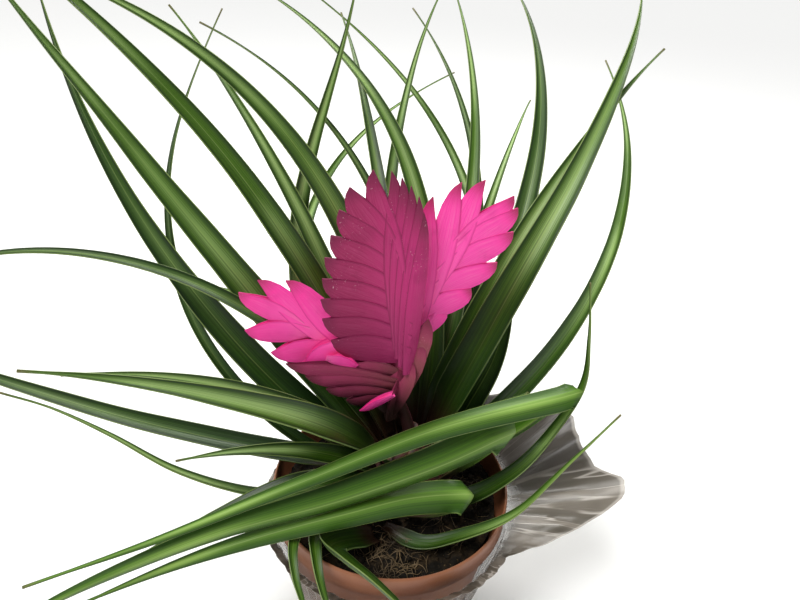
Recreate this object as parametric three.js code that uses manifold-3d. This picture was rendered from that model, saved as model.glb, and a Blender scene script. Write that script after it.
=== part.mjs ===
// A flowering air plant in a nursery pot, in millimetres, +Z up.
// The origin is the middle of the pot's flat underside, and the viewer stands on the -Y side.
import * as THREE from 'three';
import { mergeVertices } from 'three/addons/utils/BufferGeometryUtils.js';
import Module from 'manifold-3d';

const wasm = await Module();
wasm.setup();

// ---- driving dimensions ----

const gap = 0.3; // left between pieces that touch
const overshoot = 1; // how far a cut runs past what it cuts
const weld = 1e-4; // corners closer than this are one

const pot = {
  height: 105,
  baseRadius: 42.5,
  shoulderRadius: 56.5, // under the rim band
  rimRadius: 60,
  rimHeight: 12,
  wall: 1.5,
  floor: 2,
  sides: 36,
  bevel: 0.8,
  bevelHeight: 1,
  drainHoles: 6,
  drainRadius: 4,
  drainCircle: 30,
  drainSides: 10,
};

const soil = {
  edgeHeight: 95,
  moundHeight: 3.5, // how far the middle stands above the edge
  clodHeight: 1.6,
  clodSize: 5, // the waves of the surface
  inset: 0.5, // left between the soil's side and the pot's wall
  rings: 6,
  sides: 28,
};

// The short stem that every leaf grows from, a cone standing in the soil.
const crown = {
  x: 9,
  y: 14,
  topRadius: 5,
  slopeHeight: 128, // height of the leaf bases plus their distance from the stem's axis
  inset: 2.2, // leaf bases stand this far outside the cone
  skirt: 4, // how far the cone runs on below the lowest leaf bases
  skirtInset: 6,
  foot: 60, // the stem's lower end, down in the soil
  footRadius: 9,
  sides: 20,
};

// Where a leaf starts on the cone: steep leaves are the young inner ones.
const leafBase = {
  innerRadius: 7,
  outerRadius: 27,
  steepRise: 80, // degrees
  radiusPerDegree: 0.42,
};

const blade = {
  stations: 15,
  edge: 0.7, // thickness at the margins
  rib: 1, // thickness at the middle
  channel: 0.17, // depth of the channel over the width
  tipWidth: 1.6,
  fullness: 1.3, // above 1 the blade stays broad longer
  taper: 1.2,
  bend: 1.25, // above 1 the bend gathers towards the tip
  clasp: 0.5, // width at the very base, as a share
  claspEnd: 0.1, // the share of the length where the full width is reached
  rollEnd: 0.4, // the share of the length over which the blade rolls over
};

// One row a leaf. azimuth: the way it leaves the stem, 0 to the right (+X), 90 to the back (+Y).
// sweep: how far it turns sideways by its tip. rise and tipRise: its slope at the base and the tip.
// roll: how far the blade turns about its own run. Angles are degrees, sizes millimetres.
const leaves = [
  // upper left, long and broad
  { azimuth: 172, sweep: -20, rise: 53, tipRise: 40, length: 300, width: 22, roll: -45 },
  { azimuth: 180, sweep: -56, rise: 41, tipRise: 55, length: 295, width: 19, roll: -45 },
  { azimuth: 163, sweep: 26, rise: 68, tipRise: 33, length: 320, width: 18, roll: -45 },
  { azimuth: 139, sweep: 55, rise: 80, tipRise: 11, length: 300, width: 17, roll: -60 },
  { azimuth: 197, sweep: -153, rise: 35, tipRise: 56, length: 290, width: 8, roll: -15 },
  { azimuth: 174, sweep: 16, rise: 61, tipRise: -34, length: 280, width: 10, roll: -30 },
  // upper middle, half hidden by the flower head
  { azimuth: 144, sweep: -7, rise: 65, tipRise: 26, length: 260, width: 14, roll: -45 },
  { azimuth: 90, sweep: 98, rise: 69, tipRise: 25, length: 250, width: 8, roll: -30 },
  { azimuth: 173, sweep: -179, rise: 47, tipRise: 81, length: 260, width: 17, roll: 40 },
  { azimuth: 73, sweep: 103, rise: 63, tipRise: 23, length: 290, width: 16, roll: -30 },
  { azimuth: 108, sweep: -1, rise: 66, tipRise: 16, length: 265, width: 13, roll: 0 },
  { azimuth: 53, sweep: 128, rise: 42, tipRise: 33, length: 325, width: 10, roll: -45 },
  { azimuth: 112, sweep: -49, rise: 54, tipRise: 42, length: 275, width: 12, roll: 10 },
  { azimuth: 60, sweep: 72, rise: 46, tipRise: 32, length: 290, width: 11.5, roll: -30 },
  { azimuth: 66, sweep: 44, rise: 58, tipRise: 30, length: 285, width: 13, roll: 0 },
  { azimuth: 144, sweep: -126, rise: 30, tipRise: 24, length: 320, width: 11, roll: 30 },
  // upper right
  { azimuth: 70, sweep: 5, rise: 55, tipRise: -2, length: 265, width: 10, roll: 0 },
  { azimuth: 41, sweep: 72, rise: 60, tipRise: 23, length: 300, width: 18, roll: 0 },
  { azimuth: 47, sweep: -6, rise: 67, tipRise: 30, length: 242, width: 17, roll: 28 },
  { azimuth: 22, sweep: 59, rise: 70, tipRise: 19, length: 290, width: 21, roll: 25 },
  { azimuth: 24, sweep: 84, rise: 35, tipRise: 30, length: 305, width: 16, roll: -20 },
  // low left
  { azimuth: 236, sweep: -45, rise: 58, tipRise: 9, length: 195, width: 20, roll: -45 },
  { azimuth: 184, sweep: -14, rise: 10, tipRise: 20, length: 290, width: 14, roll: -30 },
  { azimuth: 212, sweep: 4, rise: 56, tipRise: 17, length: 175, width: 13, roll: -45 },
  { azimuth: 218, sweep: -33, rise: 49, tipRise: -20, length: 110, width: 13, roll: -45 },
  // shorter ones round the back and the right
  { azimuth: 78, sweep: -10, rise: 40, tipRise: -25, length: 150, width: 13, roll: 0 },
  { azimuth: 112, sweep: 10, rise: 38, tipRise: -20, length: 160, width: 13, roll: 0 },
  { azimuth: 140, sweep: 5, rise: 40, tipRise: -25, length: 170, width: 13, roll: 0 },
  { azimuth: 28, sweep: 60, rise: 53, tipRise: 40, length: 105, width: 24, roll: 0 },
  { azimuth: -6, sweep: 11, rise: 62, tipRise: 30, length: 60, width: 14, roll: 10 },
  { azimuth: 22, sweep: -8, rise: 49, tipRise: 20, length: 55, width: 12, roll: 0 },
];

// These leaves hang, curl or are creased, so each is led through points: the middle of the blade,
// from the stem to the tip. A creased leaf folds over at the point numbered fold.
const ledLeaves = {
  leaf_folded_1: {
    width: 15,
    fold: 4,
    points: [
      [34, 16, 103], [49, 12, 119], [64, 8, 137], [80, 0, 166], [83, -3, 172], [77, -6, 172],
      [19, -24, 163], [-38, -50, 152], [-96, -70, 133], [-148, -81, 113],
    ],
  },
  leaf_folded_2: {
    width: 23,
    fold: 3,
    points: [
      [27, 5, 102], [42, -2, 124], [55, -7, 147], [53, -11, 151],
      [25, -24, 143], [-17, -44, 139], [-73, -64, 131], [-132, -79, 107], [-178, -89, 78],
    ],
  },
  leaf_folded_3: {
    width: 18,
    fold: 3,
    points: [
      [10, -18, 101], [24, -20, 106], [38, -19, 114], [37, -21, 119],
      [10, -32, 127], [-18, -45, 129], [-72, -62, 121], [-132, -76, 95],
    ],
  },
  leaf_low_left: {
    width: 24,
    points: [
      [6, -13, 104], [-8, -18, 111], [-25, -22, 118], [-46, -27, 120], [-80, -36, 107], [-118, -45, 86],
      [-146, -49, 71],
    ],
  },
  leaf_low_thin: {
    width: 8,
    points: [
      [-16, -2, 101], [-34, -13, 105], [-50, -19, 109], [-72, -20, 111],
      [-103, -20, 122], [-131, -20, 142], [-153, -24, 160], [-168, -32, 174],
    ],
  },
  leaf_curled_1: {
    width: 13,
    points: [
      [20, -8, 100], [39, -9, 104], [62, -6, 123], [80, 6, 141],
      [91, 16, 160], [88, 15, 190], [81, 12, 222],
    ],
  },
  leaf_curled_2: {
    width: 10,
    points: [
      [-2, -26, 100], [15, -36, 101], [32, -37, 108],
      [57, -39, 130], [77, -37, 164], [92, -34, 187],
    ],
  },
  leaf_hanging_1: {
    width: 8,
    points: [
      [-24, -16, 100], [-37, -30, 112], [-41, -54, 119], [-38, -68, 114], [-34, -75, 108], [-24, -86, 86],
    ],
  },
  leaf_hanging_2: {
    width: 9,
    points: [
      [-16, -22, 100], [-29, -34, 108], [-33, -44, 113],
      [-31, -56, 111], [-27, -66, 104], [-16, -76, 80],
    ],
  },
  leaf_hanging_3: {
    width: 18,
    points: [
      [-6, -33, 100.5], [-21, -43, 108], [-25, -52, 114], [-17, -61, 117],
      [-5, -70, 117], [20, -84, 104], [32, -86, 88],
    ],
  },
};
const ledBlade = { stations: 22, flatten: 12 }; // the channel opens out this near a crease

// The flower head: three flat spikes of two-ranked bracts on one stalk. Each spike lies in a
// plane of constant y. base and top are [x, z] of its middle line, bow is the line's side bulge.
// Each side has its count of bracts, how far their tips reach from the middle line, between which
// shares of the spike the tips stand, and lean, the share of the spike from a root to its tip,
// which is low at the spike's base.
// swell above 0 makes the lower bracts shorter, and a low roundness makes the upper ones shorter.
const spikes = {
  spike_main: {
    y: 5.5, base: [2, 174], top: [-12, 259], bow: 2, bractWidth: 16, bractDepth: 4.4, colour: 0xa02a66,
    left: { count: 9, reach: 34, from: 0.13, to: 1.02, low: 0, lean: 0.34, roundness: 2.2, swell: 0 },
    right: { count: 8, reach: 20, from: 0.3, to: 1.09, low: 0.3, lean: 0.62, roundness: 16, swell: 0.7 },
  },
  spike_right: {
    y: 15, base: [11, 190], top: [35, 256], bow: -5, bractWidth: 14, bractDepth: 4, colour: 0xe2479a,
    left: { count: 4, reach: 23, from: 0.6, to: 1.08, low: 0.5, lean: 0.6, roundness: 6, swell: 0 },
    right: { count: 5, reach: 20, from: 0.4, to: 1.04, low: 0.3, lean: 0.26, roundness: 4, swell: 0 },
  },
  spike_left: {
    y: 12, base: [-18, 172], top: [-71, 206], bow: -2, bractWidth: 13, bractDepth: 4, colour: 0xe2479a,
    left: { count: 5, reach: 24, from: 0.15, to: 0.95, low: 0.1, lean: 0.26, roundness: 4, swell: 0.35 },
    right: { count: 4, reach: 20, from: 0.4, to: 1.02, low: 0.4, lean: 0.55, roundness: 5, swell: 0 },
  },
};
const bract = {
  overreach: 1.1, // the share of the middle line where the outline closes
  profile: [[0, 0.4], [0.25, 0.85], [0.55, 1], [0.82, 0.66], [1, 0.06]], // [along, width share]
  tipDepth: 0.3,
  topDepth: 0.65, // depth of the uppermost bracts over the lowest ones'
  lowestRoot: 0.02,
};
const rachis = { radius: 2, end: 0.9, stations: 5, sides: 6, taper: 0.5 };
const endBract = { from: 0.7, width: 0.8, depth: 0.5 }; // the one at the very tip of a spike

const stalk = {
  radius: 3.4,
  topRadius: 2.4,
  points: [[9, 14, 122], [6, 13, 136], [2.5, 10, 154], [2, 6.5, 171]],
  sides: 8,
  stations: 6,
  branches: [
    [[3, 11, 154], [8, 14, 172], [10.6, 15, 188.5]],
    [[3, 11, 150], [-7, 12, 162], [-16.6, 12, 171]],
  ],
  branchRadius: 1.8,
  branchSides: 6,
  // bracts round the stalk: root and tip
  bracts: [
    { root: [5, 9, 136], tip: [-16, 0, 148], width: 13 },
    { root: [5, 12, 139], tip: [15, 5, 158], width: 13 },
    { root: [3, 7, 144], tip: [-34, 0, 158], width: 14 },
    { root: [4, 9, 148], tip: [11, 4, 171], width: 14 },
    { root: [1, 8, 155], tip: [-52, 3, 170], width: 16 },
    { root: [2, 7, 160], tip: [-28, 2, 168], width: 13 },
    { root: [5, 14, 142], tip: [17, 22, 160], width: 12 },
  ],
  bractDepth: 2.4,
};

// A clear sleeve of florist's film stands round the pot and flares out to the right.
const film = {
  thickness: 0.8,
  foot: 6, // height of its lower edge
  footRadius: 45.5,
  neckHeight: 88,
  neckRadius: 60.5,
  lowLip: 4, // how far it stands out where it is crushed down
  flareReach: 64, // and where it flares
  flareRise: 12,
  flareAzimuth: 13,
  flareSharpness: 11, // a high one makes the flare narrow
  folds: 13,
  foldDepth: 1.5,
  lowFold: 0.3, // fold depth away from the flare, as a share
  flareFold: 2, // and what the flare adds
  ripple: 0.5, // depth of the folds down the pot's side
  steps: 60,
  rings: [0, 0.25, 0.5, 0.62, 0.78, 1], // from the foot, past the neck at 0.5, to the lip
};

// ---- materials ----

function finish(colour, roughness, metalness = 0) {
  return new THREE.MeshStandardMaterial({ color: colour, roughness, metalness });
}

const leafGreen = finish(0x3f7a2c, 0.45);
const paleGreen = finish(0x6d9c3f, 0.45);
const terracotta = finish(0xb5694a, 0.55);
const peat = finish(0x1d1712, 0.95);
const stemBrown = finish(0x5a4632, 0.8);
const mauve = finish(0x8c2f60, 0.5);
const clearFilm = finish(0xb9b4b0, 0.15);

// ---- small helpers ----

const degrees = Math.PI / 180;
const up = new THREE.Vector3(0, 0, 1);

function clamp(value, low, high) {
  return Math.min(high, Math.max(low, value));
}

function vector(point) {
  return new THREE.Vector3(point[0], point[1], point[2]);
}

function place(shape, x, y, z) {
  shape.translate(x, y, z);
  return shape;
}

// Joins rings of points, all of one count, into a closed skin with a flat cap at each end.
function loft(rings) {
  const count = rings[0].length;
  const positions = [];
  const index = [];
  rings.forEach((ring) => ring.forEach((point) => positions.push(point.x, point.y, point.z)));
  const last = (rings.length - 1) * count;
  for (let j = 1; j + 1 < count; j += 1) {
    index.push(0, j + 1, j);
    index.push(last, last + j, last + j + 1);
  }
  for (let i = 0; i + 1 < rings.length; i += 1) {
    for (let j = 0; j < count; j += 1) {
      const a = i * count + j;
      const b = i * count + ((j + 1) % count);
      index.push(a, b, a + count, b, b + count, a + count);
    }
  }
  const geometry = new THREE.BufferGeometry();
  geometry.setAttribute('position', new THREE.Float32BufferAttribute(positions, 3));
  geometry.setIndex(index);
  return volume(geometry) < 0 ? turnedOut(geometry) : geometry;
}

function volume(geometry) {
  const position = geometry.getAttribute('position');
  const index = geometry.getIndex();
  const corners = [new THREE.Vector3(), new THREE.Vector3(), new THREE.Vector3()];
  let sum = 0;
  for (let i = 0; i < index.count; i += 3) {
    corners.forEach((corner, k) => corner.fromBufferAttribute(position, index.getX(i + k)));
    sum += corners[0].dot(corners[1].clone().cross(corners[2]));
  }
  return sum / 6;
}

function turnedOut(geometry) {
  const index = geometry.getIndex();
  for (let i = 0; i < index.count; i += 3) {
    const second = index.getX(i + 1);
    index.setX(i + 1, index.getX(i + 2));
    index.setX(i + 2, second);
  }
  return geometry;
}

function indexed(geometry) {
  const bare = geometry.clone();
  bare.deleteAttribute('normal');
  bare.deleteAttribute('uv');
  return mergeVertices(bare, weld);
}

function solidOf(geometry) {
  const merged = indexed(geometry);
  const vertProperties = new Float32Array(merged.getAttribute('position').array);
  const triVerts = new Uint32Array(merged.getIndex().array);
  return new wasm.Manifold(new wasm.Mesh({ numProp: 3, vertProperties, triVerts }));
}

function geometryOf(solid) {
  const mesh = solid.getMesh();
  const geometry = new THREE.BufferGeometry();
  geometry.setAttribute('position', new THREE.Float32BufferAttribute(mesh.vertProperties, 3));
  geometry.setIndex(new THREE.Uint32BufferAttribute(mesh.triVerts, 1));
  return geometry;
}

function joined(geometries) {
  const solids = geometries.map(solidOf);
  return geometryOf(solids.reduce((whole, solid) => whole.add(solid)));
}

function standing(radiusLow, radiusHigh, low, high, sides) {
  const shape = new THREE.CylinderGeometry(radiusHigh, radiusLow, high - low, sides);
  shape.rotateX(Math.PI / 2);
  return place(shape, 0, 0, (low + high) / 2);
}

// ---- leaves ----

// The six corners of a blade's section: a shallow V, its upper face along the normal.
function bladeSection(middle, across, normal, width, channel) {
  const half = width / 2;
  const corners = [
    [-half, channel], [0, 0], [half, channel],
    [half, channel - blade.edge], [0, -blade.rib], [-half, channel - blade.edge],
  ];
  return corners.map(([side, height]) =>
    middle.clone().addScaledVector(across, side).addScaledVector(normal, height));
}

function bladeWidth(row, share) {
  const clasp = blade.clasp + (1 - blade.clasp) * Math.min(1, share / blade.claspEnd);
  return Math.max(blade.tipWidth, row.width * Math.pow(1 - Math.pow(share, blade.fullness), blade.taper) * clasp);
}

function leafStart(row) {
  const steepness = leafBase.steepRise - row.rise;
  const wanted = leafBase.innerRadius + steepness * leafBase.radiusPerDegree;
  const radius = clamp(wanted, leafBase.innerRadius, leafBase.outerRadius);
  const angle = row.azimuth * degrees;
  return new THREE.Vector3(
    crown.x + radius * Math.cos(angle),
    crown.y + radius * Math.sin(angle),
    crown.slopeHeight - radius,
  );
}

// Slope and heading of a leaf at a share of its length.
function headingAt(row, share) {
  const rise = (row.rise + (row.tipRise - row.rise) * Math.pow(share, blade.bend)) * degrees;
  const turn = (row.azimuth + row.sweep * share) * degrees;
  const along = new THREE.Vector3(
    Math.cos(rise) * Math.cos(turn), Math.cos(rise) * Math.sin(turn), Math.sin(rise));
  const level = new THREE.Vector3(-Math.sin(turn), Math.cos(turn), 0);
  return { along, level };
}

// A leaf leaves its base at its own slope, bends and sweeps, and rolls about its run.
function leaf(row) {
  const middle = leafStart(row);
  const step = row.length / blade.stations;
  const rings = [];
  for (let i = 0; i <= blade.stations; i += 1) {
    const share = i / blade.stations;
    const { along, level } = headingAt(row, share);
    const roll = row.roll * degrees * Math.min(1, share / blade.rollEnd);
    const across = level.applyAxisAngle(along, roll);
    const normal = along.clone().cross(across);
    const width = bladeWidth(row, share);
    rings.push(bladeSection(middle, across, normal, width, blade.channel * width));
    middle.addScaledVector(headingAt(row, share + 0.5 / blade.stations).along, step);
  }
  return loft(rings);
}

// A led leaf follows its points, and its channel opens flat at a crease.
function ledLeaf(row) {
  const curve = new THREE.CatmullRomCurve3(row.points.map(vector));
  const length = curve.getLength();
  const creased = row.fold !== undefined;
  const crease = creased ? curve.getLengths(row.points.length - 1)[row.fold] / length : 0;
  const stations = creased ? ledBlade.stations : blade.stations;
  const rings = [];
  let across = null;
  for (let i = 0; i <= stations; i += 1) {
    const share = i / stations;
    const along = curve.getTangentAt(share);
    const guide = across === null ? up.clone().cross(along) : across;
    across = guide.clone().addScaledVector(along, -guide.dot(along)).normalize();
    const normal = along.clone().cross(across);
    const open = creased ? clamp((Math.abs(share - crease) * length) / ledBlade.flatten, 0, 1) : 1;
    const width = bladeWidth(row, share);
    const channel = blade.channel * width * open;
    rings.push(bladeSection(curve.getPointAt(share), across, normal, width, channel));
  }
  return loft(rings);
}

// ---- pot, soil and stem ----

function potOuter(height) {
  const share = height / (pot.height - pot.rimHeight);
  return pot.baseRadius + (pot.shoulderRadius - pot.baseRadius) * share;
}

function potShape() {
  const shoulder = pot.height - pot.rimHeight;
  const profile = [
    [0, 0],
    [pot.baseRadius, 0],
    [potOuter(shoulder), shoulder],
    [pot.rimRadius - pot.bevel, shoulder],
    [pot.rimRadius, shoulder + pot.bevelHeight],
    [pot.rimRadius, pot.height - pot.bevelHeight],
    [pot.rimRadius - pot.bevel, pot.height],
    [pot.rimRadius - pot.wall, pot.height],
    [potOuter(shoulder) - pot.wall, shoulder - pot.bevelHeight],
    [potOuter(pot.floor) - pot.wall, pot.floor],
    [0, pot.floor],
  ].map(([radius, height]) => new THREE.Vector2(radius, height));
  const lathe = new THREE.LatheGeometry(profile, pot.sides);
  lathe.rotateX(Math.PI / 2);
  const body = indexed(lathe);
  let solid = solidOf(volume(body) < 0 ? turnedOut(body) : body);
  for (let i = 0; i < pot.drainHoles; i += 1) {
    const angle = (i / pot.drainHoles) * 2 * Math.PI;
    const drill = standing(
      pot.drainRadius, pot.drainRadius, -overshoot, pot.floor + overshoot, pot.drainSides);
    place(drill, pot.drainCircle * Math.cos(angle), pot.drainCircle * Math.sin(angle), 0);
    solid = solid.subtract(solidOf(drill));
  }
  return geometryOf(solid);
}

// The soil fills the pot, with a low mound and a few clods on top, and a hole for the stem.
function soilShape() {
  const bottomRadius = potOuter(pot.floor) - pot.wall - soil.inset;
  const topRadius = potOuter(soil.edgeHeight) - pot.wall - soil.inset - gap;
  const rings = [circle(bottomRadius, () => pot.floor + gap)];
  for (let i = 0; i < soil.rings; i += 1) {
    const share = 1 - i / soil.rings;
    const height = soil.edgeHeight + soil.moundHeight * (1 - share * share);
    rings.push(circle(topRadius * share, (x, y) => height + clod(x, y)));
  }
  const shaft = standing(
    crown.footRadius + gap, crown.footRadius + gap, crown.foot - gap, crown.slopeHeight, crown.sides);
  const funnel = standing(
    crown.slopeHeight - soil.edgeHeight + gap, crown.footRadius + gap,
    soil.edgeHeight - overshoot, crown.slopeHeight, crown.sides);
  place(shaft, crown.x, crown.y, 0);
  place(funnel, crown.x, crown.y, 0);
  return geometryOf(solidOf(loft(rings)).subtract(solidOf(shaft)).subtract(solidOf(funnel)));
}

function circle(radius, heightAt) {
  return Array.from({ length: soil.sides }, (_, i) => {
    const angle = (i / soil.sides) * 2 * Math.PI;
    const x = radius * Math.cos(angle);
    const y = radius * Math.sin(angle);
    return new THREE.Vector3(x, y, heightAt(x, y));
  });
}

function clod(x, y) {
  const size = soil.clodSize;
  const wave = Math.sin(x / size + 1) * Math.cos((0.8 * y) / size) + Math.sin((x - y) / size);
  return (soil.clodHeight / 2) * wave;
}

function stemShape() {
  const lowest = crown.slopeHeight - leafBase.outerRadius - crown.skirt;
  const widest = crown.slopeHeight - lowest - crown.inset - crown.skirtInset;
  const top = crown.slopeHeight - crown.inset - crown.topRadius;
  const foot = standing(crown.footRadius, crown.footRadius, crown.foot, lowest + overshoot, crown.sides);
  const cone = standing(widest, crown.topRadius, lowest, top, crown.sides);
  const whole = joined([foot, cone]);
  return place(whole, crown.x, crown.y, 0);
}

// ---- flower head ----

// A bract is a pointed boat, flat in the spike's plane and thickest along its keel.
function bractShape(root, tip, width, depth, facing) {
  const along = tip.clone().sub(root);
  const across = facing.clone().cross(along).normalize();
  const rings = bract.profile.map(([share, widthShare]) => {
    const middle = root.clone().addScaledVector(along, share);
    const half = (width / 2) * widthShare;
    const thick = (depth / 2) * (1 - (1 - bract.tipDepth) * share * share);
    return [
      middle.clone().addScaledVector(across, -half),
      middle.clone().addScaledVector(facing, -thick),
      middle.clone().addScaledVector(across, half),
      middle.clone().addScaledVector(facing, thick),
    ];
  });
  return loft(rings);
}

function spikeShape(row) {
  const base = new THREE.Vector3(row.base[0], row.y, row.base[1]);
  const top = new THREE.Vector3(row.top[0], row.y, row.top[1]);
  const facing = new THREE.Vector3(0, 1, 0);
  const run = top.clone().sub(base);
  const side = facing.clone().cross(run).normalize(); // to the right of the run, seen from the front
  const middleAt = (share) =>
    base.clone().addScaledVector(run, share).addScaledVector(side, row.bow * Math.sin(share * Math.PI));
  const line = Array.from({ length: rachis.stations + 1 }, (_, i) => {
    const share = (i / rachis.stations) * rachis.end;
    const radius = rachis.radius * (1 - share * rachis.taper);
    return ringAbout(middleAt(share), side, facing, radius, rachis.sides);
  });
  const last = bractShape(
    middleAt(endBract.from), middleAt(bract.overreach),
    row.bractWidth * endBract.width, row.bractDepth * endBract.depth, facing);
  const pieces = [loft(line), last];
  [[-1, row.left], [1, row.right]].forEach(([hand, rank]) => {
    for (let i = 0; i < rank.count; i += 1) {
      const share = rank.from + (rank.to - rank.from) * (i / (rank.count - 1));
      const narrowing = Math.sqrt(1 - Math.pow(share / bract.overreach, rank.roundness));
      const reach = rank.reach * narrowing * Math.pow(Math.min(1, share), rank.swell);
      const lean = rank.low + (rank.lean - rank.low) * share * share;
      const root = middleAt(Math.max(bract.lowestRoot, share - lean));
      const tip = middleAt(share).addScaledVector(side, hand * reach);
      const depth = row.bractDepth * (1 - (1 - bract.topDepth) * share);
      pieces.push(bractShape(root, tip, row.bractWidth, depth, facing));
    }
  });
  return joined(pieces);
}

function ringAbout(middle, sideways, facing, radius, sides) {
  return Array.from({ length: sides }, (_, i) => {
    const angle = (i / sides) * 2 * Math.PI;
    return middle.clone()
      .addScaledVector(sideways, radius * Math.cos(angle))
      .addScaledVector(facing, radius * Math.sin(angle));
  });
}

function rod(points, radiusLow, radiusHigh, sides) {
  const curve = new THREE.CatmullRomCurve3(points.map(vector));
  const rings = Array.from({ length: stalk.stations + 1 }, (_, i) => {
    const share = i / stalk.stations;
    const along = curve.getTangentAt(share);
    const sideways = new THREE.Vector3(0, 1, 0).cross(along).normalize();
    const facing = along.clone().cross(sideways);
    const radius = radiusLow + (radiusHigh - radiusLow) * share;
    return ringAbout(curve.getPointAt(share), sideways, facing, radius, sides);
  });
  return loft(rings);
}

function stalkShape() {
  const trunk = rod(stalk.points, stalk.radius, stalk.topRadius, stalk.sides);
  const branches = stalk.branches.map((points) =>
    rod(points, stalk.branchRadius, stalk.branchRadius, stalk.branchSides));
  const bracts = stalk.bracts.map((row) => {
    const root = vector(row.root);
    const tip = vector(row.tip);
    const along = tip.clone().sub(root).normalize();
    const facing = up.clone().addScaledVector(along, -along.z).normalize();
    return bractShape(root, tip, row.width, stalk.bractDepth, facing);
  });
  return joined([trunk, ...branches, ...bracts]);
}

// ---- film sleeve ----

// The sleeve at one angle and share of its height: up the pot's side, then out over the flare.
function filmPoint(angle, share, offset) {
  const towards = Math.cos(angle - film.flareAzimuth * degrees);
  const flare = Math.exp(film.flareSharpness * (towards - 1));
  const reach = film.lowLip + (film.flareReach - film.lowLip) * flare;
  const wave = Math.sin(film.folds * angle);
  const fold = film.foldDepth * wave * (film.lowFold + flare * film.flareFold);
  const body = Math.min(1, share * 2);
  const lip = Math.max(0, share * 2 - 1);
  const ripple = film.ripple * Math.abs(Math.cos(film.folds * angle)) * body;
  const neck = film.footRadius + (film.neckRadius - film.footRadius) * body;
  const away = neck + reach * lip + offset + ripple;
  const lift = film.flareRise * flare + fold - offset;
  const height = film.foot + (film.neckHeight - film.foot) * body + lift * lip;
  return new THREE.Vector3(away * Math.cos(angle), away * Math.sin(angle), height);
}

function filmShape() {
  const rings = Array.from({ length: film.steps }, (_, i) => {
    const angle = (i / film.steps) * 2 * Math.PI;
    const outside = film.rings.map((share) => filmPoint(angle, share, film.thickness));
    const inside = film.rings.map((share) => filmPoint(angle, share, 0)).reverse();
    return [...outside, ...inside];
  });
  return ringLoft(rings);
}

// Like loft, but the last ring joins the first, so there are no caps.
function ringLoft(rings) {
  const count = rings[0].length;
  const positions = [];
  const index = [];
  rings.forEach((ring) => ring.forEach((point) => positions.push(point.x, point.y, point.z)));
  for (let i = 0; i < rings.length; i += 1) {
    const next = (i + 1) % rings.length;
    for (let j = 0; j < count; j += 1) {
      const k = (j + 1) % count;
      const a = i * count + j;
      const b = i * count + k;
      const c = next * count + j;
      const d = next * count + k;
      index.push(a, b, c, b, d, c);
    }
  }
  const geometry = new THREE.BufferGeometry();
  geometry.setAttribute('position', new THREE.Float32BufferAttribute(positions, 3));
  geometry.setIndex(index);
  return volume(geometry) < 0 ? turnedOut(geometry) : geometry;
}

// ---- the assembly ----

const plant = new THREE.Group();

function add(name, geometry, material) {
  const mesh = new THREE.Mesh(geometry, material);
  mesh.name = name;
  plant.add(mesh);
}

add('pot', potShape(), terracotta);
add('soil', soilShape(), peat);
add('stem', stemShape(), stemBrown);
leaves.forEach((row, i) => add(`leaf_${String(i + 1).padStart(2, '0')}`, leaf(row), leafGreen));
Object.entries(ledLeaves).forEach(([name, row]) => add(name, ledLeaf(row), paleGreen));
add('flower_stalk', stalkShape(), mauve);
Object.entries(spikes).forEach(([name, row]) => add(name, spikeShape(row), finish(row.colour, 0.5)));
add('film_sleeve', filmShape(), clearFilm);

export default plant;
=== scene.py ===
import math
import random

import bpy
from mathutils import Matrix, Vector, noise


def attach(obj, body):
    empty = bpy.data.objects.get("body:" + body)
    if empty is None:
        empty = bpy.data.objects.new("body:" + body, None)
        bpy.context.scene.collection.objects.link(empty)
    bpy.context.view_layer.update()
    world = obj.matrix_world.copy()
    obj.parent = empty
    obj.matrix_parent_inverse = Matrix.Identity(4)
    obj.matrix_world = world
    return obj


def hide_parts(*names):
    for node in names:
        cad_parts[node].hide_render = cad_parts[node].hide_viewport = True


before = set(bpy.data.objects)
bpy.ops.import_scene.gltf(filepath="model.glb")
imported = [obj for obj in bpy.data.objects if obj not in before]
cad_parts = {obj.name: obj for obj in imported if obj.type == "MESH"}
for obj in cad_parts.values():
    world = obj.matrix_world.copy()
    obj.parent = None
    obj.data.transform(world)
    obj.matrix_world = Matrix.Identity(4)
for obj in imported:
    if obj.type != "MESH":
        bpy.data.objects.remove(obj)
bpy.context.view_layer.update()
mm = 0.001
up = Vector((0, 0, 1))
print("frame loaded:", len(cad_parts), "nodes")


# camera, floor and light

viewpoint = {
    "place": (-1.8, -255.6, 374.8),  # mm
    "pitch": 32.2,  # degrees below level
    "roll": 4.0,
    "lens": 31.5,
    "sensor": 36.0,
}


def standCamera():
    pitch = math.radians(viewpoint["pitch"])
    roll = math.radians(viewpoint["roll"])
    forward = Vector((0, math.cos(pitch), -math.sin(pitch)))
    right = Vector((1, 0, 0))
    over = right.cross(forward)
    rolledRight = math.cos(roll) * right + math.sin(roll) * over
    rolledUp = math.cos(roll) * over - math.sin(roll) * right
    bpy.ops.object.camera_add()
    camera = bpy.context.object
    camera.name = "camera"
    camera.data.lens = viewpoint["lens"]
    camera.data.sensor_width = viewpoint["sensor"]
    camera.data.clip_start = 0.01
    turn = Matrix((rolledRight, rolledUp, -forward)).transposed().to_4x4()
    camera.matrix_world = Matrix.Translation(Vector(viewpoint["place"]) * mm) @ turn
    bpy.context.scene.camera = camera


studio = {
    "floorSize": 8.0,  # metres
    "floorColour": (0.92, 0.92, 0.91),
    "worldColour": (1, 1, 1, 1),
    "worldStrength": 0.24,
    # a very soft sun lights the floor evenly: where it stands, strength and softness in degrees
    "sun": ((-0.5, -0.42, 1.0), 2.9, 28),
    # place, size, watts and colour of each soft light
    "lights": {
        "overheadBack": ((0.05, 0.55, 0.95), 0.4, 9, (1, 0.99, 0.96)),
        "fillRight": ((0.95, -0.35, 0.75), 0.9, 1.5, (0.95, 0.97, 1)),
    },
    "aim": (0, 0, 0.16),
}


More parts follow.
